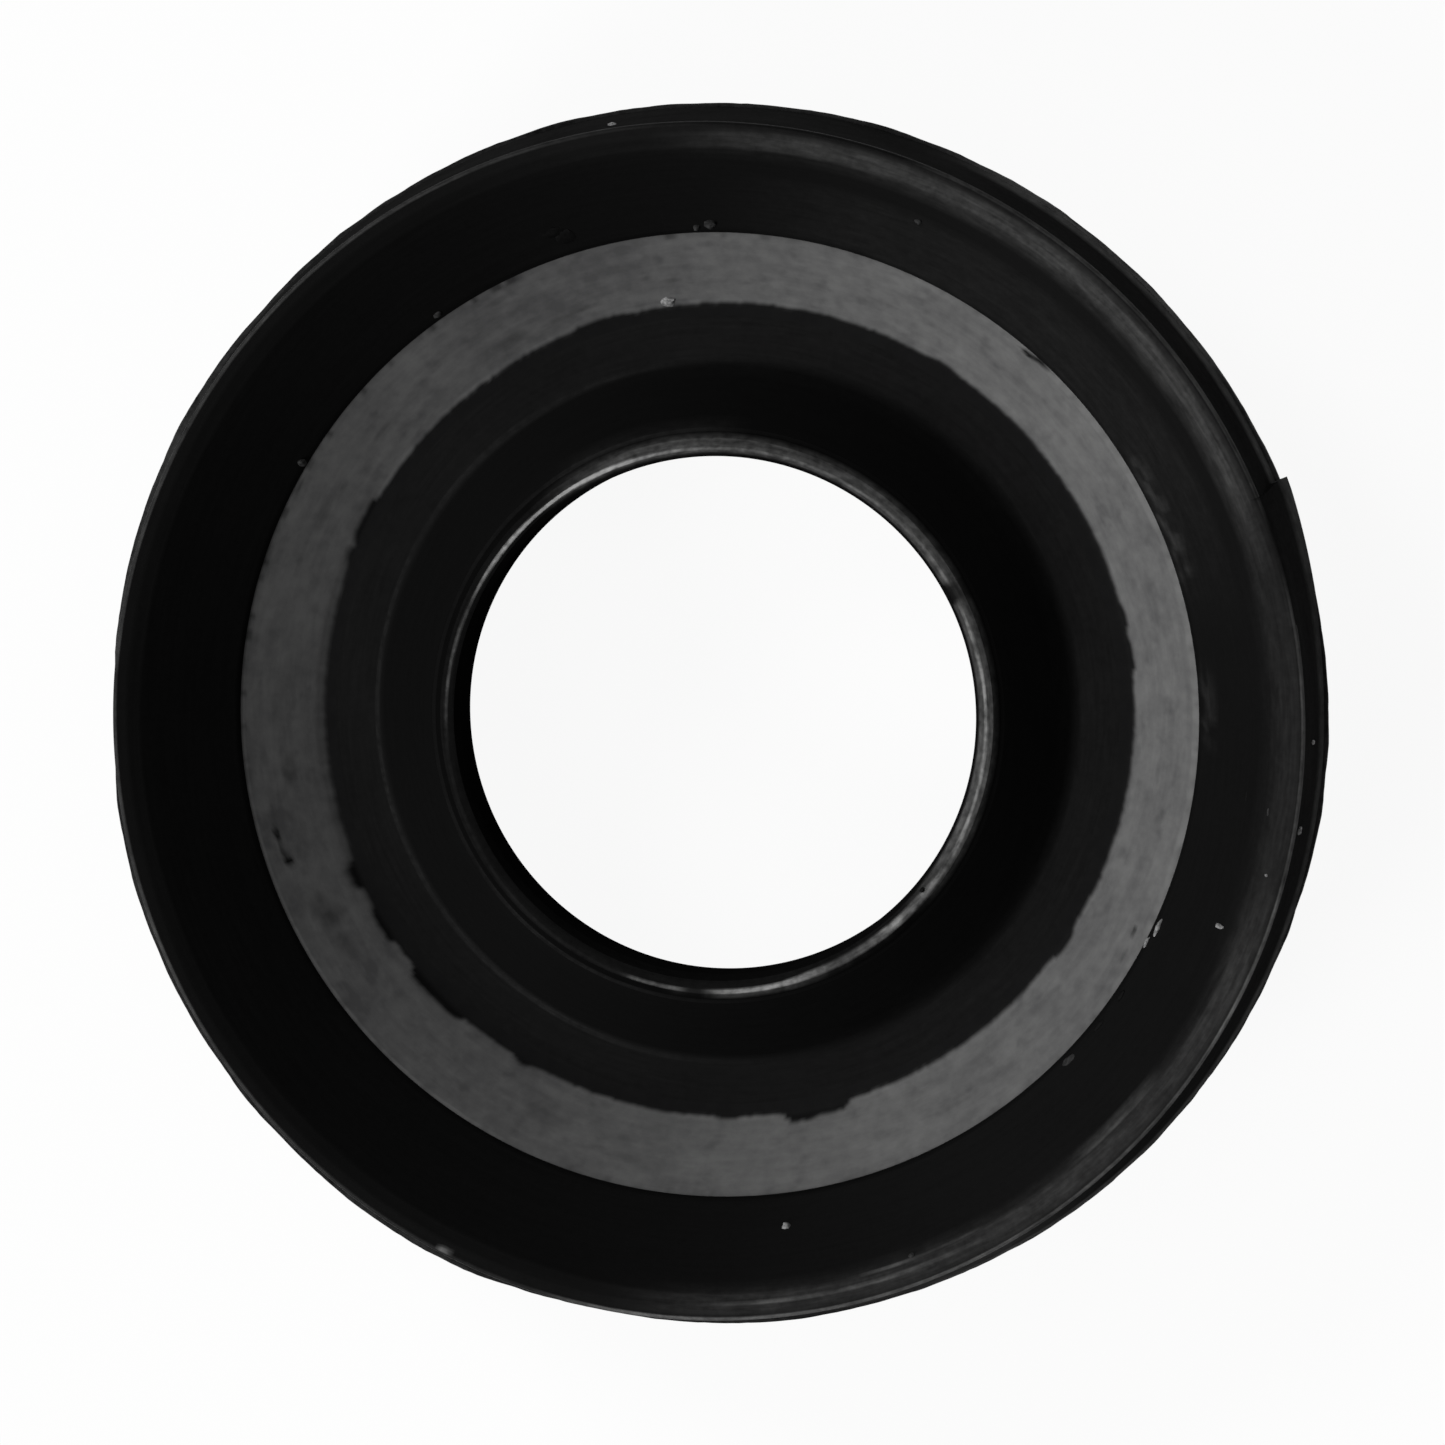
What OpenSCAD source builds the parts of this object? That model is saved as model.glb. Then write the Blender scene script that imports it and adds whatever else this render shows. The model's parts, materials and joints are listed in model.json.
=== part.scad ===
// Flanged rubber grommet, moulded in one piece.
// The body is one revolved section: a dished flange with a raised rim, a conical
// seat band, a trough, a conical boss round the bore, and below the flange a panel
// groove and a tapered bead that is pushed through the panel.
// Z = 0 is the foot that it stands on. The axis of the bore is the Z axis.

/* [Flange] */
// Diameter over the moulding flash, the widest place
flange_d = 38; // [37:0.25:42]
// Height of the rim above the parting line
rim_rise = 3; // [2.6:0.1:3.6]
// Draft of the outer wall in degrees, the same above and below the parting line
wall_draft = 6.5; // [3:0.5:9]
// Width of the land on top of the rim
rim_land_w = 0.8; // [0.5:0.1:1]
// Slope of that land towards the bore, in degrees
rim_land_slope = 18; // [6:1:24]
// Depth of the flange below the parting line
flange_under = 1.4; // [1.1:0.1:2]
// How far the moulding flash stands out of the wall
flash_w = 0.15; // [0.05:0.05:0.25]
// Thickness of the moulding flash
flash_h = 0.2; // [0.1:0.05:0.3]

/* [Seat band] */
// Outer diameter of the matte seat band
seat_outer_d = 30; // [28.5:0.25:31]
// Inner diameter of the matte seat band
seat_inner_d = 25.5; // [24.5:0.1:26.5]
// Height of the band's outer edge above the parting line
seat_rise = 0.3; // [0:0.1:0.8]
// Step down from the dish wall to the band
seat_step_h = 0.08; // [0.04:0.02:0.16]

/* [Trough and boss] */
// Depth of the trough floor below the parting line
trough_depth = 1.7; // [1.2:0.1:2]
// Diameter of the boss at its foot
boss_foot_d = 22; // [21.4:0.1:23]
// Diameter of the shoulder at the top of the boss
shoulder_d = 17.9; // [17.8:0.1:18.4]
// How far the shoulder lies below the top of the lip
shoulder_fall = 0.34; // [0.2:0.02:0.5]
// Slope of the shoulder away from the bore, in degrees
shoulder_slope = 18; // [5:1:30]

/* [Bore lip] */
// Height of the top of the lip above the parting line
mouth_rise = 0.6; // [0.4:0.1:1]
// Outer diameter of the lip
lip_outer_d = 17.26; // [17.1:0.02:17.5]
// Outer diameter at the foot of the lip, where the shoulder begins
lip_foot_d = 17.66; // [17.6:0.02:17.74]
// Inner diameter of the lip, where the chamfer begins
lip_inner_d = 16.46; // [16.4:0.02:16.7]
// How far both edges of the crowned lip lie below its top
lip_fall = 0.03; // [0.02:0.01:0.06]

/* [Bore] */
// Diameter of the bore
bore_d = 16.1; // [15.4:0.1:16.3]
// Height of the chamfer that leads into the bore
mouth_chamfer = 0.4; // [0.2:0.05:0.6]
// Length of the straight wall that grips the cable
bore_land = 1.9; // [1.2:0.1:2.2]
// Diameter of the wider bore below the grip
relief_d = 20.6; // [19.6:0.2:21.6]

/* [Panel groove and bead] */
// Diameter of the neck, the size of the hole in the panel
neck_d = 28.4; // [27.6:0.2:29.4]
// Width of the groove, the thickness of the panel
groove_w = 2; // [1.2:0.1:3]
// Diameter of the bead behind the panel
bead_d = 32; // [31:0.25:34]
// Height of the bead from the foot to the groove
bead_h = 4; // [3.4:0.1:6]
// Height of the bead's straight edge
bead_edge = 0.9; // [0.6:0.1:1.4]
// Diameter of the foot, the small end of the lead-in taper
foot_d = 26.8; // [25.6:0.2:28]

/* [Rounding] */
// Radius at the outer edge of the rim
rim_edge_r = 0.12; // [0.06:0.02:0.2]
// Radius where the rim land turns down into the dish
dish_edge_r = 0.4; // [0.2:0.05:0.6]
// Radius in the corners of the trough
trough_r = 0.3; // [0.15:0.05:0.4]
// Radius in the two corners of the panel groove
groove_r = 0.3; // [0.15:0.05:0.4]
// Radius on the outer edges of the flange underside, the bead and the foot
edge_r = 0.35; // [0.2:0.05:0.4]

/* [Torn rim] */
// Direction of the tear, in degrees from the X axis
tear_angle = 22.7; // [0:0.1:90]
// Angle over which the torn wall leans outwards, clockwise from the tear
tear_reach = 24; // [16:1:32]
// How far the free end of the torn wall stands out
tear_lift = 0.34; // [0.15:0.01:0.5]
// How far the top of the torn wall lies below the rim
tear_top_fall = 0.14; // [0.1:0.02:0.3]

/* [Nicked bore lip] */
// Direction of the nick, in degrees from the X axis
nick_angle = 27; // [0:1:90]
// Length of the nick along the lip
nick_l = 0.7; // [0.3:0.05:1]
// Depth of the nick into the lip
nick_depth = 0.14; // [0.08:0.02:0.2]

/* [Hidden] */
$fn = 180;

// Heights, from the foot upwards
groove_z = bead_h;
under_z = groove_z + groove_w;
part_z = under_z + flange_under;
rim_z = part_z + rim_rise;
floor_z = part_z - trough_depth;
mouth_z = part_z + mouth_rise;
lip_z = mouth_z - lip_fall - mouth_chamfer;
land_z = lip_z - bore_land;

// Radii
wall_r = flange_d / 2 - flash_w;
rim_r = wall_r - (rim_rise - flash_h / 2) * tan(wall_draft);
under_r = wall_r - (flange_under - flash_h / 2) * tan(wall_draft);
land_in_r = rim_r - rim_land_w;
land_in_z = rim_z - rim_land_w * tan(rim_land_slope);
bore_r = bore_d / 2;
relief_r = relief_d / 2;

// Corners of the section that are named because they are rounded
foot_corner = [foot_d / 2, 0];
bead_low = [bead_d / 2, bead_h - bead_edge];
bead_top = [bead_d / 2, groove_z];
neck_low = [neck_d / 2, groove_z];
neck_top = [neck_d / 2, under_z];
under_corner = [under_r, under_z];
wall_low = [wall_r, part_z - flash_h / 2];
wall_top = [wall_r, part_z + flash_h / 2];
rim_corner = [rim_r, rim_z];
dish_corner = [land_in_r, land_in_z];
seat_top = [seat_outer_d / 2, part_z + seat_rise];
seat_edge = seat_top - [0, seat_step_h];
floor_out = [seat_inner_d / 2, floor_z];
floor_in = [boss_foot_d / 2, floor_z];
shoulder = [shoulder_d / 2, mouth_z - shoulder_fall];
lip_foot = [lip_foot_d / 2, shoulder[1] + (shoulder_d - lip_foot_d) / 2 * tan(shoulder_slope)];
lip_out = [lip_outer_d / 2, mouth_z - lip_fall];
lip_in = [lip_inner_d / 2, mouth_z - lip_fall];
grip_end = [bore_r, land_z];
relief_top = [relief_r, land_z - (relief_r - bore_r)];

// The sides of the crowned lip would meet at this point if they weren't rounded.
lip_half_w = (lip_outer_d - lip_inner_d) / 4;
lip_apex = (lip_out + lip_in) / 2 + [0, 2 * lip_fall];
// Share of each side of the crown that its arc takes up
crown_share = 0.9;
crown_r = crown_share * norm(lip_apex - lip_out) * lip_half_w / (2 * lip_fall);

// Top of the torn wall, which meets the rim's edge where it leans out the most
torn_top = [rim_r - tear_lift, rim_z - tear_top_fall];

// How much larger a corner patch is than the corner that it rounds or fills
patch_overrun = 1.1;

function unit(v) = v / norm(v);

// The patch between a sharp corner and a circle of radius r that touches both of
// its sides. Taken away it rounds an edge, and added it fills a corner. It runs a
// little past the sides, so that no skin is left on them.
module corner_patch(corner, side_a, side_b, r) {
    a = unit(side_a - corner);
    b = unit(side_b - corner);
    half_angle = acos(a * b) / 2;
    reach = r / tan(half_angle);
    centre = corner + unit(a + b) * r / sin(half_angle);
    difference() {
        polygon([
            for (p = [corner, corner + a * reach, centre, corner + b * reach])
                centre + (p - centre) * patch_overrun
        ]);
        translate(centre) circle(r);
    }
}

// Half of the cross-section with sharp corners
module sharp_section() {
    polygon([
        [relief_r, 0], foot_corner, bead_low, bead_top,
        neck_low, neck_top, under_corner,
        wall_low, [flange_d / 2, part_z - flash_h / 2], [flange_d / 2, part_z + flash_h / 2], wall_top,
        rim_corner, dish_corner, seat_top, seat_edge,
        floor_out, floor_in, shoulder, lip_foot, lip_out, lip_apex, lip_in,
        [bore_r, lip_z], grip_end, relief_top
    ]);
}

// Half of the cross-section as moulded
module section() {
    difference() {
        sharp_section();
        corner_patch(foot_corner, [relief_r, 0], bead_low, edge_r);
        corner_patch(bead_low, foot_corner, bead_top, edge_r);
        corner_patch(bead_top, bead_low, neck_low, edge_r);
        corner_patch(under_corner, neck_top, wall_low, edge_r);
        corner_patch(rim_corner, wall_top, dish_corner, rim_edge_r);
        corner_patch(dish_corner, rim_corner, seat_top, dish_edge_r);
        corner_patch(lip_apex, lip_out, lip_in, crown_r);
    }
    corner_patch(neck_low, bead_top, neck_top, groove_r);
    corner_patch(neck_top, neck_low, under_corner, groove_r);
    corner_patch(floor_out, seat_edge, floor_in, trough_r);
    corner_patch(floor_in, floor_out, shoulder, trough_r);
}

// The torn length of the outer wall, leaning outwards about its sound end
module torn_wall() {
    root_angle = tear_angle - tear_reach;
    root = [rim_r * cos(root_angle), rim_r * sin(root_angle), 0];
    lean = asin(tear_lift / (2 * rim_r * sin(tear_reach / 2)));
    translate(root) rotate([0, 0, -lean]) translate(-root)
        rotate([0, 0, root_angle]) rotate_extrude(angle = tear_reach)
            polygon([
                [land_in_r, part_z], [wall_r, part_z],
                torn_top, [land_in_r, torn_top[1] - tear_lift]
            ]);
}

// The nick across the chamfer and the inner edge of the lip
module lip_nick() {
    nick_w = lip_in[0] - bore_r + 2 * nick_depth;
    rotate([0, 0, nick_angle]) translate([bore_r - nick_depth, -nick_l / 2, lip_z])
        cube([nick_w, nick_l, 2 * mouth_chamfer]);
}

module grommet() {
    color("#1c1c1d") difference() {
        union() {
            rotate_extrude() section();
            torn_wall();
        }
        lip_nick();
    }
}

grommet();
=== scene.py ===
import json
import math

import bpy
from mathutils import Matrix, Vector, noise

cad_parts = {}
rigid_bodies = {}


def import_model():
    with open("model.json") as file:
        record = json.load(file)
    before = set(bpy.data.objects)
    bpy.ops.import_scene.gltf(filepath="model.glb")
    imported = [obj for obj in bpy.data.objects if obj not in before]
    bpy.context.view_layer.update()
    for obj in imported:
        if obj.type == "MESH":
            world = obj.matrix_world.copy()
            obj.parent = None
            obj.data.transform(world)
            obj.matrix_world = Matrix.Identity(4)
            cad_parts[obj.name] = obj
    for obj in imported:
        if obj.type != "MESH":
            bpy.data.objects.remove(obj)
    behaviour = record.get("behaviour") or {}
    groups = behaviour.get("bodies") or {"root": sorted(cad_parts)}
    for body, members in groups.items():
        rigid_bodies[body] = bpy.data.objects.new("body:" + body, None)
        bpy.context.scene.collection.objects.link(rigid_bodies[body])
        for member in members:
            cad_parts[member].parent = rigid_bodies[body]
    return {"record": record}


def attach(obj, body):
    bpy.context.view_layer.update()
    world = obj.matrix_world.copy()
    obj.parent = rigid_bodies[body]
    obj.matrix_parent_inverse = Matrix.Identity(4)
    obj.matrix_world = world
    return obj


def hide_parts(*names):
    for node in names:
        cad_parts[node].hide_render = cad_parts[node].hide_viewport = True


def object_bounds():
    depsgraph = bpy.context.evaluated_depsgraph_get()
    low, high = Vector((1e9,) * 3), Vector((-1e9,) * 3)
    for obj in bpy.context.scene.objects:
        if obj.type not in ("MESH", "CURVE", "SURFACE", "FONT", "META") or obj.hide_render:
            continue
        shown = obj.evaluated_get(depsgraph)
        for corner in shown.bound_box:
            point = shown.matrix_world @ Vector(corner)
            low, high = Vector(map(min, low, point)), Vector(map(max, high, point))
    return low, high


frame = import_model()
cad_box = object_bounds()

# A flanged rubber grommet, moulded in one piece. Its visible skin is one lathe mesh
# whose section changes with the angle: torn rim, ragged film on the seat band, rubbed lip with a painted
# highlight.
# Sizes are in millimetres and angles in degrees, turned to metres in the mesh.
MM = 0.001
UP = Vector((0, 0, 1))

# Even steps of the lathe, few enough to keep its mesh under 200,000 triangles
EVEN_STEPS = 540


def mount(name):
    return next(m for m in frame["record"]["mounts"] if m["name"] == name)


# ---------------------------------------------------------------- sizes
FLANGE_R = (cad_box[1].x - cad_box[0].x) / 2 / MM
BORE_R = mount("cable_bore")["dims"]["r_mm"]
NECK_R = mount("panel_groove")["dims"]["r_mm"]
GROOVE_W = mount("panel_groove")["dims"]["length_mm"]
BEAD_R = 16.0
BEAD_H = 4.0
BEAD_EDGE = 0.9
FOOT_R = 13.4
UNDER_Z = BEAD_H + GROOVE_W
FLANGE_UNDER = 1.4
PART_Z = UNDER_Z + FLANGE_UNDER
FLASH_W = 0.15
FLASH_H = 0.2
WALL_R = FLANGE_R - FLASH_W
WALL_DRAFT = math.tan(math.radians(6.5))
# Share of the outer wall, above the flash, that takes the flash's painted highlight
WALL_FOOT_SHARE = 0.15
UNDER_R = WALL_R - (FLANGE_UNDER - FLASH_H / 2) * WALL_DRAFT
RIM_RISE = 3.0
RIM_R = WALL_R - (RIM_RISE - FLASH_H / 2) * WALL_DRAFT
# A hair below the solid's rim, so that the rounded crest stays inside its box
RIM_Z = PART_Z + RIM_RISE - 0.015
CREST_W = 0.16
# The land on top of the rim falls towards the bore, more steeply in its inner part
LAND_W = 0.8
LAND_OUTER_W = 0.42
LAND_OUTER_SLOPE = math.tan(math.radians(14))
LAND_INNER_SLOPE = math.tan(math.radians(25))
LAND_MID = (RIM_R - LAND_OUTER_W, RIM_Z - LAND_OUTER_W * LAND_OUTER_SLOPE)
LAND_IN = (RIM_R - LAND_W, LAND_MID[1] - (LAND_W - LAND_OUTER_W) * LAND_INNER_SLOPE)
SEAT_OUT = (15.0, PART_Z + 0.3)
SEAT_STEP = 0.08
SEAT_EDGE = (SEAT_OUT[0] - 0.02, SEAT_OUT[1] - SEAT_STEP)
TROUGH_DEPTH = 1.7
FLOOR_Z = PART_Z - TROUGH_DEPTH
FLOOR_OUT_R = 12.75
FLOOR_MID_R = 12.3
CONE_MID_R = 13.6
BOSS_FOOT = (10.9, FLOOR_Z)
RIDGE_R = 10.98
RIDGE_HALF = 0.06
RIDGE_LEAN = 0.4
MOUTH_RISE = 0.6
MOUTH_Z = PART_Z + MOUTH_RISE
SHOULDER = (8.96, MOUTH_Z - 0.34)
LIP_FOOT = (8.83, MOUTH_Z - 0.3)
LIP_FALL = 0.03
LIP_OUT = (8.63, MOUTH_Z - LIP_FALL)
LIP_IN = (8.23, MOUTH_Z - LIP_FALL)
# The two sides of the crowned lip would meet at LIP_TOP if they weren't rounded
LIP_TOP = ((LIP_OUT[0] + LIP_IN[0]) / 2, MOUTH_Z + LIP_FALL)
GRIP_START_Z = MOUTH_Z - 0.42
GRIP_END_Z = MOUTH_Z - 2.3
RELIEF_R = 10.3
RELIEF_TOP_Z = GRIP_END_Z - (RELIEF_R - BORE_R)

# Radii of the rounded corners
EDGE_ROUND = 0.35
GROOVE_ROUND = 0.3
FLASH_ROUND = 0.05
CREST_ROUND = 0.12
DISH_ROUND = 0.6
TROUGH_ROUND = 0.3
BOSS_FOOT_ROUND = 0.55
SHOULDER_ROUND = 0.1
LIP_FOOT_ROUND = 0.04
LIP_OUT_ROUND = 0.03
CROWN_ROUND = 0.74
LIP_IN_ROUND = 0.04
BORE_ROUND = 0.1

# The smudges at the foot of the dish, and the rings that are added there to show them
SMUDGE_R = 15.25
SMUDGE_HALF = 0.1
SMUDGE_RINGS = (15.36, 15.25, 15.14)

# The torn rim leans outwards, clockwise from the tear, and its end isn't cut square
TEAR = 22.7
TEAR_REACH = 24.0
TEAR_LIFT = 0.34
TEAR_TOP_FALL = 0.12
TEAR_SLANT = 0.55
# Its crest is rounder and wider at the tear, by this much
TEAR_ROUND_EXTRA = 0.1
TEAR_CREST_EXTRA = 0.12

# The nick in the lip of the bore
NICK = 28.0
NICK_W = 4.6
NICK_SOFT = 2.0
NICK_DEPTH = 0.13

# Radius of the black film's edge on the seat band, and its ripples: height, fineness, seed
FILM_R = 12.76
FILM_RIPPLES = [(0.022, 30, 4.0), (0.03, 9, 7.0), (0.03, 75, 2.0), (0.03, 210, 11.0)]

# Where the black film reaches further out over the grey band: middle, width, depth
FILM_BITES = [
    (8.3, 4.5, 0.09), (13.6, 3.0, 0.09), (57.7, 3.0, 0.08), (108.0, 8.0, 0.08), (152.8, 6.6, 0.13),
    (158.2, 2.6, 0.09), (204.4, 3.6, 0.2), (212.3, 5.4, 0.12), (224.6, 9.4, 0.19), (240.0, 2.0, 0.1),
    (270.0, 3.0, 0.07), (280.3, 3.6, 0.3), (284.6, 5.6, 0.22), (326.0, 4.4, 0.12),
]

# Smears of the film on the seat band: angle, radius, length in degrees, width, share
SMEARS = [
    (47.5, 14.92, 2.6, 0.16, 0.9), (49.4, 14.85, 2.4, 0.16, 0.9), (60.5, 13.74, 5.0, 0.12, 0.16),
    (68.5, 13.72, 5.0, 0.12, 0.12), (14.0, 13.95, 3.2, 0.14, 0.12), (22.4, 14.8, 1.4, 0.1, 0.2),
    (97.0, 13.5, 2.6, 0.16, 0.22), (108.5, 13.25, 3.2, 0.16, 0.24), (112.5, 13.22, 5.4, 0.16, 0.18),
    (119.7, 13.3, 5.4, 0.32, 0.26), (118.5, 14.55, 3.6, 0.14, 0.22), (141.0, 13.75, 4.2, 0.14, 0.22),
    (150.2, 13.74, 2.2, 0.14, 0.26), (154.0, 13.9, 4.6, 0.34, 0.18), (152.0, 14.87, 2.4, 0.1, 0.35),
    (161.5, 14.0, 3.2, 0.14, 0.12), (188.0, 13.78, 4.2, 0.4, 0.36), (186.0, 14.4, 2.2, 0.2, 0.14),
    (192.8, 14.42, 2.4, 0.14, 0.22), (195.4, 14.47, 1.5, 0.2, 0.8), (197.4, 14.43, 3.8, 0.16, 0.6),
    (199.3, 14.37, 1.3, 0.25, 0.9), (195.8, 13.72, 2.6, 0.22, 0.16), (206.2, 14.05, 4.8, 0.5, 0.24),
    (207.8, 13.78, 2.8, 0.6, 0.26), (210.4, 14.12, 5.0, 0.3, 0.16), (212.4, 13.88, 4.4, 0.3, 0.22),
    (301.0, 14.15, 4.2, 0.14, 0.15), (330.0, 14.6, 1.6, 0.13, 0.4), (333.0, 14.5, 1.2, 0.16, 0.6),
    (353.0, 13.7, 3.2, 0.12, 0.12), (246.0, 14.0, 6.0, 0.2, 0.06),
]

# Rubbed places on the rim, with painted light: its sunlit side lifted a little, and painted highlights
# along the crest: radius, half width, middle angle, reach, fade, share
RIM_WEAR_AND_LIGHT = [
    # Painted light: the sunlit side of the rim, lifted a little
    (18.0, 0.5, 10, 92, 14, 0.003),
    (17.9, 0.5, 355, 14, 12, 0.02),
    # Painted highlight along the crest
    (18.48, 0.05, 357, 12, 10, 0.08),
    (17.98, 0.27, 54, 28, 14, 0.07),
    (17.6, 0.12, 42, 18, 20, 0.035),
    (18.02, 0.34, 303, 30, 14, 0.047),
    (18.02, 0.05, 284, 7, 9, 0.14),
    (17.72, 0.05, 288.6, 1.2, 2.5, 0.14),
    (17.7, 0.04, 295, 2, 3, 0.05),
    (17.66, 0.05, 316, 2.5, 5, 0.1),
    # Painted highlights along the crest line, round the rim
    (18.46, 0.05, 268, 8, 8, 0.16),
    (18.48, 0.05, 300, 32, 16, 0.22),
    (18.48, 0.05, 45, 20, 6, 0.1),
    (18.48, 0.05, 348, 16, 10, 0.1),
    (18.46, 0.05, 162, 44, 30, 0.075),
    (18.46, 0.06, 228, 22, 16, 0.02),
    (18.38, 0.08, 243.6, 0.1, 0.5, 0.6),
]

# The painted highlight on the lip, a bright line: middle angle, reach, fade, share
LIP_HIGHLIGHT = [
    (126, 12, 20, 1.15), (166, 8, 14, 0.12), (75, 40, 20, 0.14), (257, 4, 4, 0.2), (281, 6, 9, 0.7),
    (303, 6, 8, 0.19), (316, 5, 8, 0.3), (330, 6, 6, 0.08), (352, 14, 10, 0.32), (13, 7, 6, 0.3),
]

# Where the whole lip is rubbed grey: middle angle, reach, fade, share
LIP_FLAT = [(43, 66, 24, 0.13), (338, 12, 14, 0.05)]

# Painted highlights and painted light elsewhere, by zone, and the rubbed places at the dish's foot: middle
# angle, reach, fade, share
# Painted highlight along the edge of the flash
FLASH_HIGHLIGHT = [(166, 12, 8, 0.03), (40, 18, 12, 0.14), (2, 8, 8, 0.07), (320, 22, 14, 0.12)]
# Painted highlight on the outer wall
WALL_HIGHLIGHT = [(280, 18, 14, 0.05)]
# Painted light on the sunlit side of the dish
DISH_LIT_SIDE = [(50, 22, 20, 0.012)]
DISH_FOOT_WEAR = [(24, 6, 4, 0.05), (2, 3, 3, 0.035)]
# Painted highlight on the boss's shoulder
SHOULDER_HIGHLIGHT = [(104, 14, 8, 0.012)]
# Painted light on the floor of the trough, where the boss's shadow falls
FLOOR_PAINTED_LIGHT = [(15, 60, 50, 0.004)]

# How much further out the flash stands: middle angle, reach, fade, width
FLASH_EXTRA = [(162, 12, 12, 0.1), (218, 22, 20, 0.24), (314, 24, 16, -0.08)]

# Height of the raised line at the foot of the boss, which also sets its painted highlight: middle angle,
# reach, fade, height
RIDGE_PLACES = [(180, 10, 26, 0.018), (215, 50, 20, 0.005), (137, 6, 8, 0.008)]

# Painted light and shade on the seat band, lighter and darker stretches: middle angle, reach, fade,
# lightening (negative: darkening)
BAND_LIGHT_AND_SHADE = [
    (284, 8, 16, 0.2), (112, 8, 14, -0.26), (55, 18, 18, 0.09), (222, 22, 16, -0.13), (165, 3, 9, 0.12),
]

# The black rubber's finishes: dark and light ends of the mottling, specular level, roughness,
# softness of the mottling
RUBBERS = {
    "skin": (0.0036, 0.0058, 0.06, 0.52, 0.14),
    "boss": (0.0024, 0.0038, 0.05, 0.52, 0.14),
    "shoulder": (0.0017, 0.0029, 0.04, 0.55, 0.14),
    "trough": (0.0027, 0.0043, 0.05, 0.55, 0.14),
    "bore": (0.0036, 0.0058, 0.0, 0.7, 0.14),
    "wall": (0.009, 0.0145, 0.0, 0.7, 0.14),
    "land": (0.0026, 0.0044, 0.06, 0.5, 0.12),
    "dish": (0.003, 0.005, 0.06, 0.52, 0.14),
    "flash": (0.006, 0.03, 0.02, 0.6, 0.12),
    "crest": (0.002, 0.004, 0.06, 0.5, 0.12),
    "lip": (0.0025, 0.005, 0.03, 0.6, 0.12),
}
FILM_COLOR = (0.0036, 0.0036, 0.0037)
BAND_COLORS = ((0.073, 0.073, 0.074), (0.143, 0.143, 0.142))
# Grey of rubbed rubber, also the colour of the painted light and highlights
RUBBED_AND_LIT_COLORS = ((0.19, 0.19, 0.19), (0.41, 0.41, 0.405))

# Rings and sides of each crumb, and the dark and light ends of its tone
LUMP_RINGS = 7
LUMP_SIDES = 12
CRUMB_TONES = {"pale": (0.12, 0.3), "dull": (0.012, 0.036), "dark": (0.0012, 0.002)}

# Crumbs and pimples on the skin: angle, radius, length round, width, height, tone
CRUMBS = [
    (338.8, 16.97, 0.16, 0.34, 0.07, "pale"),
    (278.2, 15.92, 0.26, 0.26, 0.1, "pale"),
    (99.3, 18.61, 0.26, 0.24, 0.08, "pale"),
    (67.4, 16.74, 0.22, 0.22, 0.08, "dull"),
    (350.3, 18.58, 0.24, 0.3, 0.09, "pale"),
    (358.6, 18.66, 0.16, 0.24, 0.06, "pale"),
    (345.5, 17.91, 0.1, 0.1, 0.04, "pale"),
    (291.2, 17.62, 0.2, 0.2, 0.06, "dull"),
    (352.7, 16.73, 0.36, 0.12, 0.02, "dark"),
    (98.2, 12.84, 0.46, 0.36, 0.12, "pale"),
    (90.7, 15.26, 0.36, 0.34, 0.2, "dull"),
    (92.4, 15.16, 0.2, 0.2, 0.12, "dull"),
    (125.2, 15.14, 0.3, 0.2, 0.06, "dull"),
    (149.2, 15.14, 0.24, 0.3, 0.09, "dull"),
    (316.2, 15.22, 0.5, 0.26, 0.07, "dull"),
    (107.4, 15.55, 0.6, 0.6, 0.03, "dark"),
    (108.5, 15.8, 0.7, 0.4, 0.03, "dark"),
    (321.6, 15.2, 0.46, 0.2, 0.05, "dark"),
    (326.0, 15.2, 0.4, 0.2, 0.05, "dark"),
    (335.1, 15.16, 0.6, 0.13, 0.08, "pale"),
    (332.9, 15.04, 0.36, 0.12, 0.07, "pale"),
    (320.5, 8.34, 0.16, 0.13, 0.04, "dark"),
    (351.6, 17.55, 0.24, 0.08, 0.012, "dull"),
]

# ---------------------------------------------------------------- camera
# Degrees off the bore's axis and round it, distance from the point it looks at, and the
# width that it sees there
TILT = 9.4
AZIMUTH = 32.0
DISTANCE = 450.0
FRAME_W = 44.76
AIM = (0.121, -0.228, PART_Z)


def make_camera():
    tilt, azimuth = math.radians(TILT), math.radians(AZIMUTH)
    back = Vector((math.sin(tilt) * math.cos(azimuth), math.sin(tilt) * math.sin(azimuth), math.cos(tilt)))
    right = Vector((0, 1, 0)).cross(back).normalized()
    up = back.cross(right)
    data = bpy.data.cameras.new("camera")
    data.sensor_width = 36.0
    data.lens = data.sensor_width * DISTANCE / FRAME_W
    data.clip_start = 0.01
    data.clip_end = 20.0
    camera = bpy.data.objects.new("camera", data)
    camera.matrix_world = Matrix((
        (right.x, up.x, back.x, (AIM[0] + back.x * DISTANCE) * MM),
        (right.y, up.y, back.y, (AIM[1] + back.y * DISTANCE) * MM),
        (right.z, up.z, back.z, (AIM[2] + back.z * DISTANCE) * MM),
        (0, 0, 0, 1),
    ))
    bpy.context.scene.collection.objects.link(camera)
    bpy.context.scene.camera = camera


# ---------------------------------------------------------------- section
def smooth(t):
    t = min(max(t, 0.0), 1.0)
    return t * t * (3 - 2 * t)


def turn(angle, scale, seed):
    """Noise from -1 to 1 that runs round the axis without a seam"""
    a = math.radians(angle)
    return noise.noise(Vector((math.cos(a) * scale, math.sin(a) * scale, seed)))


def apart(angle, middle):
    """Degrees from middle to angle, from -180 to 180"""
    return (angle - middle + 180) % 360 - 180


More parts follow.
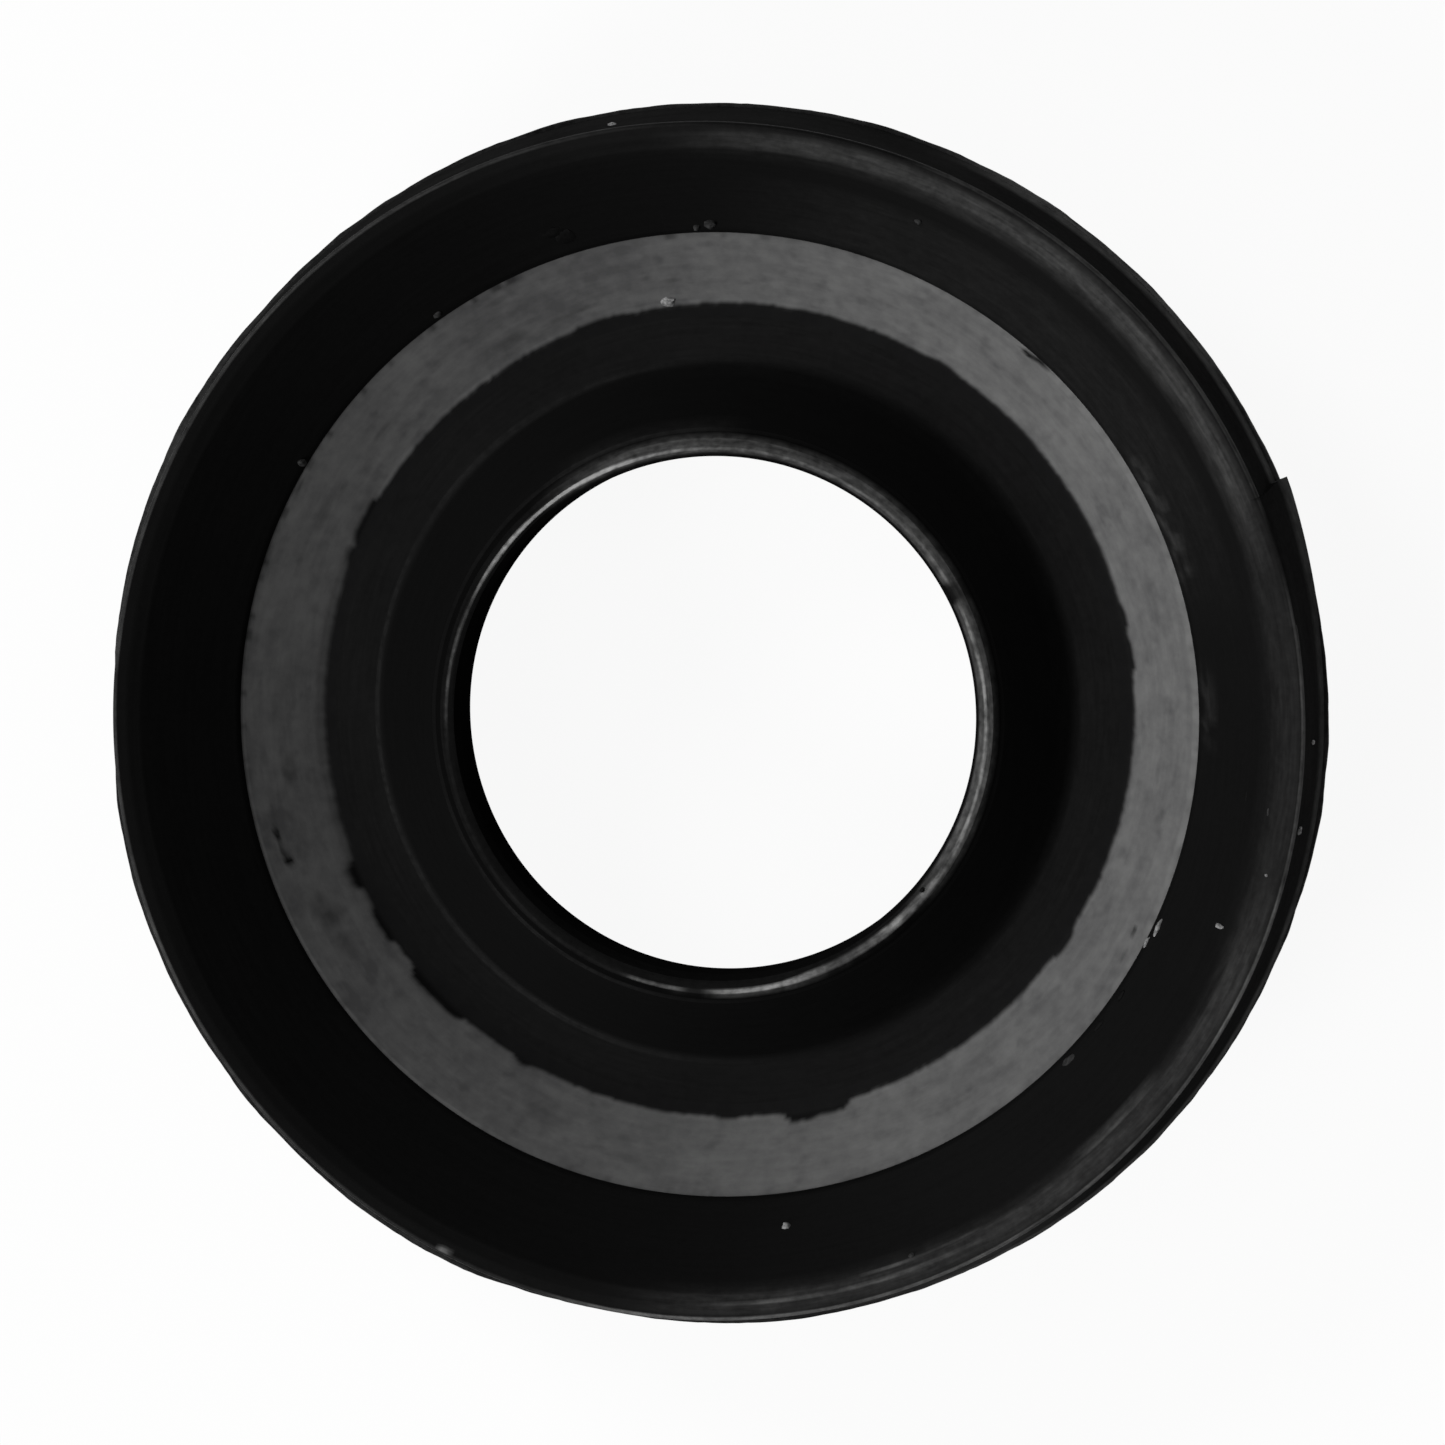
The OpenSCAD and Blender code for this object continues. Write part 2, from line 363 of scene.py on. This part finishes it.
def line(a, b, n):
    """n points from a towards b, without b"""
    return [(a[0] + (b[0] - a[0]) * i / n, a[1] + (b[1] - a[1]) * i / n) for i in range(n)]


def fillet(before, corner, after, r, n):
    """n + 1 points of the arc that rounds a corner, from the side of before to that of after"""
    c = Vector(corner)
    a = (Vector(before) - c).normalized()
    b = (Vector(after) - c).normalized()
    half = a.angle(b) / 2
    centre = c + (a + b).normalized() * r / math.sin(half)
    start = c + a * r / math.tan(half) - centre
    end = c + b * r / math.tan(half) - centre
    sweep = start.angle_signed(end)
    points = []
    for i in range(n + 1):
        arm = start.copy()
        arm.rotate(Matrix.Rotation(-sweep * i / n, 2))
        points.append(tuple(centre + arm))
    return points


def path(stops):
    """Points and finishes along a closed line through stops, each of which is
    (r, z, fillet radius, steps round the fillet, steps to the next stop, finish)"""
    bends = []
    for i, (r, z, radius, arc, _, _) in enumerate(stops):
        if radius:
            before, after = stops[i - 1][:2], stops[(i + 1) % len(stops)][:2]
            bends.append(fillet(before, (r, z), after, radius, arc))
        else:
            bends.append([(r, z)])
    points, finishes = [], []
    for i, bend in enumerate(bends):
        steps, finish = stops[i][4:]
        stretch = bend + line(bend[-1], bends[(i + 1) % len(bends)][0], steps)[1:]
        points += stretch
        finishes += [finish] * len(stretch)
    return points, finishes


def torn_share(angle):
    """0 on the sound rim, rising to 1 at the tear"""
    a = apart(angle, TEAR)
    if a > 0 or a < -TEAR_REACH:
        return 0.0
    return ((a + TEAR_REACH) / TEAR_REACH) ** 2.0


def near(angle, middle, reach, soft):
    """1 within reach of middle, falling to 0 over a further soft degrees"""
    return smooth((reach + soft - abs(apart(angle, middle))) / soft)


def total(angle, places):
    """Sum of the shares of places that lie near an angle: (middle, reach, fade, share)"""
    return sum(most * near(angle, middle, reach, soft) for middle, reach, soft, most in places)


def film_edge(angle):
    """Radius at which the black film ends on the seat band"""
    r = FILM_R + 0.05 * math.cos(math.radians(2 * (angle - 20)))
    r += sum(height * turn(angle, scale, seed) for height, scale, seed in FILM_RIPPLES)
    for middle, width, depth in FILM_BITES:
        edge = (width / 2 - abs(apart(angle, middle))) / 1.6
        r += depth * smooth(edge + 0.5)
    return r


def smear(angle, r):
    """How far smears of the film hide the grey"""
    share = 0.0
    for middle, radius, length, width, most in SMEARS:
        away = math.hypot(apart(angle, middle) / length, (r - radius) / width) * 2
        share += most * smooth(1.45 - away)
    if not share:
        return 0.0
    return share * (1 + 0.8 * noise.noise(Vector((angle * 0.7, r * 4.0, 3.0))))


def film_cover(angle, r):
    """How far the film hides the grey at radius r. Its edge thins out, most on the left, and
    it is a little thinner on the right."""
    soft = 0.19 + 0.27 * near(angle, 182, 12, 22)
    film = smooth((film_edge(angle) - r) / soft + 0.5) * (1 - 0.012 * near(angle, 5, 60, 60))
    fleck = 0.4 * near(angle, 135, 35, 25) + 0.15
    fleck *= smooth(3.2 * turn(angle, 44, 12.0) - 0.1) * smooth((r - 14.76) / 0.12)
    return min(max(film, smear(angle, r), fleck), 1.0)


def on_cone(r):
    """The point of the seat cone at radius r"""
    run, rise = SEAT_OUT[0] - FLOOR_OUT_R, SEAT_OUT[1] - SEAT_STEP - FLOOR_Z
    return r, FLOOR_Z + (r - FLOOR_OUT_R) * rise / run


def on_dish(r):
    """The point of the dish wall at radius r"""
    return r, SEAT_OUT[1] + (r - SEAT_OUT[0]) * (LAND_IN[1] - SEAT_OUT[1]) / (LAND_IN[0] - SEAT_OUT[0])


def rim_wear_and_light(angle, r):
    """Share of the rubbed grey, the painted light and the painted highlights on the rim"""
    share = 0.0
    for radius, half, middle, reach, soft, most in RIM_WEAR_AND_LIGHT:
        share += most * smooth(1.5 - abs(r - radius) / half) * near(angle, middle, reach, soft)
    return share


def lip_wear_and_highlight(angle, r):
    """The lip is rubbed grey towards the tear, with a painted highlight, a bright line that sweeps
    from its inner edge there to its outer edge on the far side, as a highlight on its crown would"""
    flat = total(angle, LIP_FLAT)
    wide = near(angle, 305, 12, 12)
    # Painted highlight: where the bright line lies across the crown, and how bright it is
    line_r = 8.44 - 0.12 * math.cos(math.radians(angle - 78)) - 0.04 * wide
    bright = (0.012 + total(angle, LIP_HIGHLIGHT)) * (1 + 0.6 * turn(angle, 45, 12.0))
    half = 0.045 + 0.025 * near(angle, 298, 30, 14) + 0.045 * wide
    dent = nicked(angle) * (0.55 + 0.43 * smooth((LIP_OUT[0] - r) / 0.3))
    return (flat + bright * smooth(1.5 - abs(r - line_r) / half)) * (1 - dent)


def flash_radius(angle):
    """The moulding flash is ragged, cut back at the lower right and widest on the left, and
    stays inside the solid's square box"""
    r = FLANGE_R - 0.03 + 0.04 * turn(angle, 16, 3.0) + 0.012 * turn(angle, 70, 5.0)
    r += total(angle, FLASH_EXTRA)
    a = math.radians(angle)
    return min(r, (FLANGE_R - 0.02) / max(abs(math.cos(a)), abs(math.sin(a))))


def ridge_height(angle):
    """A fine raised line at the foot of the boss, which comes and goes on the left"""
    return total(angle, RIDGE_PLACES) * max(0.0, 1 + 1.8 * turn(angle, 85, 9.0))


def section(angle):
    """The closed outline at an angle: points, the finish from each to the next"""
    torn = torn_share(angle)
    lean = TEAR_LIFT * torn
    flash_r = max(flash_radius(angle), WALL_R + lean + 0.02)
    crest_z = RIM_Z - TEAR_TOP_FALL * torn
    crest_round = CREST_ROUND + TEAR_ROUND_EXTRA * torn
    crest_w = CREST_W + TEAR_CREST_EXTRA * torn
    ridge = ridge_height(angle)
    part_low, part_high = PART_Z - FLASH_H / 2, PART_Z + FLASH_H / 2
    wall_low = (WALL_R + lean, part_high)
    wall_foot = (
        wall_low[0] + (RIM_R - wall_low[0]) * WALL_FOOT_SHARE,
        wall_low[1] + (crest_z - wall_low[1]) * WALL_FOOT_SHARE,
    )
    stops = [
        (RELIEF_R, 0, 0, 0, 2, "skin"),
        (FOOT_R, 0, EDGE_ROUND, 3, 3, "skin"),
        (BEAD_R, BEAD_H - BEAD_EDGE, EDGE_ROUND, 3, 1, "skin"),
        (BEAD_R, BEAD_H, EDGE_ROUND, 3, 2, "skin"),
        (NECK_R, BEAD_H, GROOVE_ROUND, 3, 2, "skin"),
        (NECK_R, UNDER_Z, GROOVE_ROUND, 3, 3, "skin"),
        (UNDER_R, UNDER_Z, EDGE_ROUND, 4, 2, "wall"),
        (WALL_R, part_low, 0, 0, 1, "flash"),
        (flash_r, part_low, FLASH_ROUND, 2, 1, "flash"),
        (flash_r, part_high, FLASH_ROUND, 2, 1, "flash"),
        (*wall_low, 0, 0, 1, "wall"),
        (*wall_foot, 0, 0, 5, "wall"),
        (RIM_R, crest_z, crest_round, 8, 1, "wall" if torn > 0.2 else "crest"),
        (RIM_R - crest_w, RIM_Z - crest_w * LAND_OUTER_SLOPE, 0, 0, 4, "land"),
        (*LAND_MID, 0, 0, 5, "land"),
        (*LAND_IN, DISH_ROUND, 6, 7, "dish"),
        *((*on_dish(r), 0, 0, 1, "dish") for r in SMUDGE_RINGS),
        (*SEAT_OUT, 0, 0, 1, "dish"),
        (*SEAT_EDGE, 0, 0, 22, "seat"),
        (*on_cone(CONE_MID_R), 0, 0, 12, "seat"),
        (FLOOR_OUT_R, FLOOR_Z, TROUGH_ROUND, 4, 4, "seat"),
        (FLOOR_MID_R, FLOOR_Z, 0, 0, 2, "trough"),
        (*BOSS_FOOT, BOSS_FOOT_ROUND, 14, 5, "boss"),
        (*SHOULDER, SHOULDER_ROUND, 3, 1, "shoulder"),
        (*LIP_FOOT, LIP_FOOT_ROUND, 2, 1, "shoulder"),
        (*LIP_OUT, LIP_OUT_ROUND, 2, 1, "lip"),
        (*LIP_TOP, CROWN_ROUND, 10, 1, "lip"),
        (*LIP_IN, LIP_IN_ROUND, 3, 2, "bore"),
        (BORE_R, GRIP_START_Z, BORE_ROUND, 2, 3, "bore"),
        (BORE_R, GRIP_END_Z, BORE_ROUND, 2, 2, "bore"),
        (RELIEF_R, RELIEF_TOP_Z, 0, 0, 2, "skin"),
    ]
    points, finishes = path(stops)
    lifted = []
    for r, z in points:
        on_foot = abs(r - RIDGE_R) < RIDGE_HALF and FLOOR_Z - 0.01 < z < FLOOR_Z + 0.5
        lift = ridge * (1 - abs(r - RIDGE_R) / RIDGE_HALF) if on_foot else 0.0
        lifted.append((r + RIDGE_LEAN * lift, z + lift))
    return lifted, finishes


def steps_round():
    """The angles of the lathe's steps: even, but for two close together at the torn end"""
    angles = [360 * i / EVEN_STEPS for i in range(EVEN_STEPS)]
    angles = [a for a in angles if not -0.2 < apart(a, TEAR) < 0.7]
    return sorted(angles + [TEAR - 0.01, TEAR + 0.01])


def slant(angle, r, z):
    """How much further round the torn end runs, low on the wall"""
    if r <= RIM_R or abs(apart(angle, TEAR)) >= 0.1:
        return 0.0
    return math.radians(TEAR_SLANT) * smooth((RIM_Z - 0.6 - z) / 1.6)


def nicked(angle):
    """0 away from the nick in the lip, 1 in its middle"""
    return smooth((NICK_W / 2 - abs(apart(angle, NICK))) / NICK_SOFT + 0.5)


def nick_fall(angle, r, z):
    """How far the nick lowers a point of the lip"""
    if not BORE_R + 0.05 < r < LIP_OUT[0] or z <= MOUTH_Z - 0.5:
        return 0.0
    return NICK_DEPTH * nicked(angle) * (LIP_OUT[0] - r) / (LIP_OUT[0] - BORE_R)


def wear_and_light_share(angle, r, z):
    """Share of the rubbed grey, and of the painted light and highlights, at a point of the skin"""
    if z < PART_Z - FLASH_H and r > BEAD_R:
        return 0.0
    if r > RIM_R and z < PART_Z + 0.6:
        # Painted highlight on the flash and the foot of the wall
        return total(angle, FLASH_HIGHLIGHT)
    if r > RIM_R and z < RIM_Z - 0.1:
        # Painted highlight on the outer wall
        return total(angle, WALL_HIGHLIGHT)
    if z > PART_Z + 2.0:
        return rim_wear_and_light(angle, r)
    if z > MOUTH_Z - 0.1 and r < LIP_FOOT[0]:
        return lip_wear_and_highlight(angle, r)
    if z > MOUTH_Z - 0.45 and r < SHOULDER[0] + 0.1:
        # Painted highlight on the boss's shoulder
        return total(angle, SHOULDER_HIGHLIGHT)
    if r > SEAT_OUT[0] - 0.01:
        smudge = smooth(0.5 + 1.8 * noise.noise(Vector((angle * 0.4, r * 6.0, 9.0))))
        smudge *= total(angle, DISH_FOOT_WEAR) * smooth(1.8 - abs(r - SMUDGE_R) / SMUDGE_HALF)
        # Painted light on the sunlit side of the dish, plus the smudges at its foot
        return total(angle, DISH_LIT_SIDE) + smudge
    if z < FLOOR_Z + 0.4:
        on_ridge = abs(r - RIDGE_R) < RIDGE_HALF
        # Painted light where the boss's shadow falls on the floor, and a painted highlight on the ridge
        return total(angle, FLOOR_PAINTED_LIGHT) + (0.7 * ridge_height(angle) if on_ridge else 0.0)
    return 0.0


def band_light_and_shade(angle, r):
    """Painted light and shade on the seat band: how much lighter it is than its mean"""
    # Painted highlights along the band's outer edge, where it catches the light on the right and on the
    # left
    pale_right = 0.3 * near(angle, 12, 34, 14) * smooth((r - 14.72) / 0.1)
    pale_left = 0.6 * near(angle, 208, 26, 14) * smooth((r - 14.86) / 0.06)
    rim = (pale_right + pale_left) * (1 + 1.2 * turn(angle, 50, 17.0))
    return rim + total(angle, BAND_LIGHT_AND_SHADE)


# ---------------------------------------------------------------- finishes
def node(tree, kind, **settings):
    n = tree.nodes.new(kind)
    for key, value in settings.items():
        if key in n.inputs:
            n.inputs[key].default_value = value
        else:
            setattr(n, key, value)
    return n


def object_mm(tree):
    """Object coordinates in millimetres"""
    coords = node(tree, "ShaderNodeTexCoord")
    scale = node(tree, "ShaderNodeVectorMath", operation="SCALE")
    scale.inputs["Scale"].default_value = 1 / MM
    tree.links.new(coords.outputs["Object"], scale.inputs[0])
    return scale.outputs[0]


def round_mm(tree, place, along, across):
    """Coordinates that stretch a pattern round the axis: along repeats a radian, across a millimetre"""
    flat = node(tree, "ShaderNodeVectorMath", operation="MULTIPLY")
    flat.inputs[1].default_value = (1, 1, 0)
    length = node(tree, "ShaderNodeVectorMath", operation="LENGTH")
    unit = node(tree, "ShaderNodeVectorMath", operation="NORMALIZE")
    turned = node(tree, "ShaderNodeVectorMath", operation="SCALE")
    turned.inputs["Scale"].default_value = along
    out = node(tree, "ShaderNodeMath", operation="MULTIPLY")
    out.inputs[1].default_value = across
    up = node(tree, "ShaderNodeCombineXYZ")
    both = node(tree, "ShaderNodeVectorMath", operation="ADD")
    link = tree.links.new
    link(place, flat.inputs[0])
    link(flat.outputs[0], length.inputs[0])
    link(flat.outputs[0], unit.inputs[0])
    link(unit.outputs[0], turned.inputs[0])
    link(length.outputs["Value"], out.inputs[0])
    link(out.outputs[0], up.inputs["Z"])
    link(turned.outputs[0], both.inputs[0])
    link(up.outputs[0], both.inputs[1])
    return both.outputs[0]


def grain(tree, place, scale, detail=3.0, roughness=0.55):
    n = node(tree, "ShaderNodeTexNoise", Scale=scale, Detail=detail, Roughness=roughness)
    tree.links.new(place, n.inputs["Vector"])
    return n.outputs["Fac"]


def remap(tree, value, low, high, to_low=0.0, to_high=1.0):
    n = node(tree, "ShaderNodeMapRange")
    n.inputs["From Min"].default_value = low
    n.inputs["From Max"].default_value = high
    n.inputs["To Min"].default_value = to_low
    n.inputs["To Max"].default_value = to_high
    tree.links.new(value, n.inputs["Value"])
    return n.outputs["Result"]


def calc(tree, operation, a, b):
    n = node(tree, "ShaderNodeMath", operation=operation)
    for socket, value in zip(n.inputs, (a, b)):
        if isinstance(value, (int, float)):
            socket.default_value = value
        else:
            tree.links.new(value, socket)
    return n.outputs[0]


def blend(tree, share, dark, light):
    n = node(tree, "ShaderNodeMix", data_type="RGBA")
    for name, value in (("A", dark), ("B", light)):
        socket = next(s for s in n.inputs if s.name == name and s.type == "RGBA")
        if isinstance(value, tuple):
            socket.default_value = (*value, 1)
        else:
            tree.links.new(value, socket)
    tree.links.new(share, n.inputs["Factor"])
    return next(s for s in n.outputs if s.type == "RGBA")


def mixture(tree, *parts):
    """Sum of patterns, each times its share"""
    scaled = [calc(tree, "MULTIPLY", value, share) for value, share in parts]
    mixed = scaled[0]
    for other in scaled[1:]:
        mixed = calc(tree, "ADD", mixed, other)
    return mixed


def new_finish(name):
    material = bpy.data.materials.new(name)
    material.use_nodes = True
    tree = material.node_tree
    return material, tree, tree.nodes["Principled BSDF"]


def bump(tree, shader, height, strength, distance_mm):
    n = node(tree, "ShaderNodeBump", Strength=strength, Distance=distance_mm * MM)
    tree.links.new(height, n.inputs["Height"])
    tree.links.new(n.outputs["Normal"], shader.inputs["Normal"])


def black_rubber(name, dark, light, gloss, roughness, softness):
    """Near-black rubber, mottled from dark to light, and grey where the point attribute says, which is
    rubbed rubber in places and painted light and highlights in others
    """
    material, tree, shader = new_finish(name)
    place = object_mm(tree)
    streaks = grain(tree, round_mm(tree, place, 5.0, 9.0), 1.0, 4.0)
    mottle = grain(tree, place, 5.0, 4.0)
    cloud = grain(tree, place, 0.45, 2.0)
    mixed = mixture(tree, (streaks, 0.45), (mottle, 0.35), (cloud, 0.2))
    tone = remap(tree, mixed, 0.5 - softness, 0.5 + softness)
    color = blend(tree, tone, (dark,) * 3, (light,) * 3)
    patchy = remap(tree, grain(tree, round_mm(tree, place, 22.0, 6.0), 1.0, 3.0), 0.32, 0.68, 0.6, 1.4)
    # The point attribute holds rubbed rubber in places and painted light and highlights in others
    share = node(tree, "ShaderNodeAttribute", attribute_name="worn").outputs["Fac"]
    worn = calc(tree, "MULTIPLY", share, patchy)
    rubbed = blend(tree, tone, *RUBBED_AND_LIT_COLORS)
    tree.links.new(blend(tree, worn, color, rubbed), shader.inputs["Base Color"])
    rough = remap(tree, mixed, 0.35, 0.65, roughness + 0.1, roughness - 0.1)
    tree.links.new(rough, shader.inputs["Roughness"])
    shader.inputs["Specular IOR Level"].default_value = gloss
    bump(tree, shader, mixed, 0.25, 0.02)
    return material


def seat_rubber():
    """Matte grey, streaked round the axis, lighter and darker by painted light and shade, under a black
    film where the film attribute is 1
    """
    material, tree, shader = new_finish("seat_band")
    place = object_mm(tree)
    streaks = grain(tree, round_mm(tree, place, 7.0, 3.4), 1.0, 3.0)
    mottle = grain(tree, place, 2.2, 3.0)
    cloud = grain(tree, place, 0.7, 3.0)
    patches = remap(tree, grain(tree, round_mm(tree, place, 14.0, 1.6), 1.0, 2.0), 0.58, 0.72, 0.0, -0.12)
    mixed = calc(tree, "ADD", mixture(tree, (streaks, 0.35), (mottle, 0.35), (cloud, 0.3)), patches)
    tint = node(tree, "ShaderNodeAttribute", attribute_name="tint").outputs["Fac"]
    tone = calc(tree, "ADD", remap(tree, mixed, 0.3, 0.7), tint)
    grey = blend(tree, tone, *BAND_COLORS)
    film = node(tree, "ShaderNodeAttribute", attribute_name="film").outputs["Fac"]
    tree.links.new(blend(tree, film, grey, FILM_COLOR), shader.inputs["Base Color"])
    tree.links.new(remap(tree, mottle, 0.3, 0.7, 0.75, 0.62), shader.inputs["Roughness"])
    shader.inputs["Specular IOR Level"].default_value = 0.06
    bump(tree, shader, mixed, 0.4, 0.03)
    return material


def finishes():
    """A material for each finish that the section names"""
    looks = {name: black_rubber("rubber_" + name, *look) for name, look in RUBBERS.items()}
    looks["seat"] = seat_rubber()
    return looks


# ---------------------------------------------------------------- pieces
def add_piece(name, vertices, faces):
    mesh = bpy.data.meshes.new(name)
    mesh.from_pydata(vertices, [], faces)
    mesh.update()
    piece = bpy.data.objects.new(name, mesh)
    bpy.context.scene.collection.objects.link(piece)
    return piece


def mark_sharp_edges(mesh, limit):
    """Smooth shading, broken where two faces meet at more than limit degrees"""
    mesh.shade_smooth()
    mesh.set_sharp_from_angle(angle=math.radians(limit))


def skin_faces(m, n):
    """Four-sided faces between m closed outlines of n points each"""
    faces = []
    for i in range(m):
        k = (i + 1) % m
        for j in range(n):
            q = (j + 1) % n
            faces.append((i * n + j, k * n + j, k * n + q, i * n + q))
    return faces


def make_body():
    """The lathe mesh, with the rubbed grey and painted light, the film and the band's painted light and
    shade kept at its points
    """
    angles = steps_round()
    vertices, runs = [], []
    shares = {"worn": [], "film": [], "tint": []}
    for angle in angles:
        a = math.radians(angle)
        points, run = section(angle)
        runs += run
        for r, z in points:
            z -= nick_fall(angle, r, z)
            side = a + slant(angle, r, z)
            vertices.append((r * math.cos(side) * MM, r * math.sin(side) * MM, z * MM))
            shares["worn"].append(wear_and_light_share(angle, r, z))
            shares["film"].append(film_cover(angle, r))
            shares["tint"].append(band_light_and_shade(angle, r))
    m = len(angles)
    n = len(vertices) // m
    body = add_piece("grommet_body", vertices, skin_faces(m, n))
    looks = finishes()
    order = list(looks)
    for finish in order:
        body.data.materials.append(looks[finish])
    body.data.polygons.foreach_set("material_index", [order.index(f) for f in runs])
    for name, values in shares.items():
        body.data.attributes.new(name, "FLOAT", "POINT").data.foreach_set("value", values)
    mark_sharp_edges(body.data, 38)
    print("body: section points", n, "steps", m, "triangles", 2 * n * m)
    return body


def on_skin(r):
    """The point of the upper skin at radius r, and the unit normal there, both as (r, z)"""
    skin = [(FLANGE_R, PART_Z), (WALL_R, PART_Z + FLASH_H / 2), (RIM_R, RIM_Z), LAND_MID, LAND_IN, SEAT_OUT]
    skin += [SEAT_EDGE, (FLOOR_OUT_R, FLOOR_Z), BOSS_FOOT, SHOULDER, LIP_FOOT, LIP_OUT, LIP_TOP, LIP_IN]
    for outer, inner in zip(skin, skin[1:]):
        if inner[0] <= r <= outer[0]:
            along = (Vector(outer) - Vector(inner)).normalized()
            share = (r - inner[0]) / (outer[0] - inner[0])
            return Vector(inner) + (Vector(outer) - Vector(inner)) * share, Vector((-along.y, along.x))
    raise ValueError("no skin at that radius")


def crumb_tone(kind):
    dark, light = CRUMB_TONES[kind]
    material, tree, shader = new_finish("crumb_" + kind)
    tone = remap(tree, grain(tree, object_mm(tree), 9.0, 3.0), 0.35, 0.65)
    tree.links.new(blend(tree, tone, (dark,) * 3, (light,) * 3), shader.inputs["Base Color"])
    shader.inputs["Roughness"].default_value = 0.7
    shader.inputs["Specular IOR Level"].default_value = 0.1
    bump(tree, shader, tone, 0.3, 0.02)
    return material


def lump(number, angle, r, length, width, height):
    """Rings of points of an uneven lump, half sunk in the skin"""
    place, normal = on_skin(r)
    a = math.radians(angle)
    out = Vector((math.cos(a), math.sin(a), 0))
    side = Vector((-math.sin(a), math.cos(a), 0))
    centre = out * place.x + UP * place.y
    raised = out * normal.x + UP * normal.y
    across = side.cross(raised)
    points = []
    for i in range(LUMP_RINGS):
        t = math.pi * (i + 0.5) / LUMP_RINGS
        for j in range(LUMP_SIDES):
            u = 2 * math.pi * j / LUMP_SIDES
            way = Vector((math.sin(t) * math.cos(u), math.sin(t) * math.sin(u), math.cos(t)))
            swell = 1 + 0.45 * noise.noise(way * 1.3 + Vector((number * 7.1, 0, 0)))
            reach = side * way.x * length / 2 + across * way.y * width / 2 + raised * way.z * height
            points.append(tuple((centre + reach * swell) * MM))
    return points


def lump_faces(first):
    """The faces of a lump whose points start at first, turned outwards"""
    faces = []
    for i in range(LUMP_RINGS - 1):
        low, high = first + i * LUMP_SIDES, first + (i + 1) * LUMP_SIDES
        for j in range(LUMP_SIDES):
            k = (j + 1) % LUMP_SIDES
            faces.append((low + j, low + k, high + k, high + j))
    last = first + (LUMP_RINGS - 1) * LUMP_SIDES
    faces.append(tuple(first + j for j in reversed(range(LUMP_SIDES))))
    faces.append(tuple(last + j for j in range(LUMP_SIDES)))
    return faces


def make_crumbs():
    """Crumbs of rubber and dust, pimples of the mould, and the burr beside the seat band"""
    kinds = list(CRUMB_TONES)
    vertices, faces, tones = [], [], []
    for number, (*place, kind) in enumerate(CRUMBS):
        new_faces = lump_faces(len(vertices))
        vertices += lump(number, *place)
        faces += new_faces
        tones += [kinds.index(kind)] * len(new_faces)
    crumbs = add_piece("grommet_crumbs", vertices, faces)
    for kind in kinds:
        crumbs.data.materials.append(crumb_tone(kind))
    crumbs.data.polygons.foreach_set("material_index", tones)
    mark_sharp_edges(crumbs.data, 50)
    return crumbs


# ---------------------------------------------------------------- floor and light
# The floor, in metres: how far it runs each way, and its height just under the foot
FLOOR_REACH_M = 3.0
FLOOR_FALL_M = -0.00002

# Lamps: name, azimuth, degrees from straight above, distance and size in metres, watts
LAMPS = [
    ("key", 225, 52, 1.2, 0.4, 8.6),
    ("second", 136, 46, 1.2, 0.4, 6.6),
    ("top", 185, 15, 1.2, 0.6, 2.2),
]


def pale_backdrop(name):
    """Pale floor: white to the camera and in reflections, and still holding the shadow"""
    material, tree, shader = new_finish(name)
    shader.inputs["Base Color"].default_value = (0.85, 0.85, 0.85, 1)
    shader.inputs["Roughness"].default_value = 0.9
    shader.inputs["Specular IOR Level"].default_value = 0.0
    path_kind = node(tree, "ShaderNodeLightPath")
    white = node(tree, "ShaderNodeEmission", Strength=1.0)
    white.inputs["Color"].default_value = (1, 1, 1, 1)
    mix = node(tree, "ShaderNodeMixShader")
    seen = calc(tree, "MAXIMUM", path_kind.outputs["Is Camera Ray"], path_kind.outputs["Is Glossy Ray"])
    seen = calc(tree, "MAXIMUM", seen, path_kind.outputs["Is Transmission Ray"])
    tree.links.new(calc(tree, "MULTIPLY", seen, 0.93), mix.inputs[0])
    tree.links.new(shader.outputs[0], mix.inputs[1])
    tree.links.new(white.outputs[0], mix.inputs[2])
    tree.links.new(mix.outputs[0], tree.nodes["Material Output"].inputs["Surface"])
    return material


def make_floor():
    reach, z = FLOOR_REACH_M, FLOOR_FALL_M
    corners = [(-reach, -reach, z), (reach, -reach, z), (reach, reach, z), (-reach, reach, z)]
    floor = add_piece("floor", corners, [(0, 1, 2, 3)])
    floor.data.materials.append(pale_backdrop("floor"))


def add_lamp(name, azimuth, from_top, distance, size, power):
    data = bpy.data.lights.new(name, "AREA")
    data.shape = "DISK"
    data.size = size
    data.energy = power
    lamp = bpy.data.objects.new(name, data)
    a, t = math.radians(azimuth), math.radians(from_top)
    way = Vector((math.sin(t) * math.cos(a), math.sin(t) * math.sin(a), math.cos(t)))
    lamp.location = way * distance
    lamp.rotation_mode = "QUATERNION"
    lamp.rotation_quaternion = way.to_track_quat("Z", "Y")
    bpy.context.scene.collection.objects.link(lamp)


def make_light():
    world = bpy.data.worlds.new("world")
    bpy.context.scene.world = world
    world.use_nodes = True
    background = world.node_tree.nodes["Background"]
    background.inputs["Color"].default_value = (1, 1, 1, 1)
    background.inputs["Strength"].default_value = 0.12
    for lamp in LAMPS:
        add_lamp(*lamp)
    bpy.context.scene.view_settings.view_transform = "Standard"


make_camera()
body = make_body()
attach(body, "root")
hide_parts("grommet")
crumbs = make_crumbs()
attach(crumbs, "root")
make_floor()
make_light()
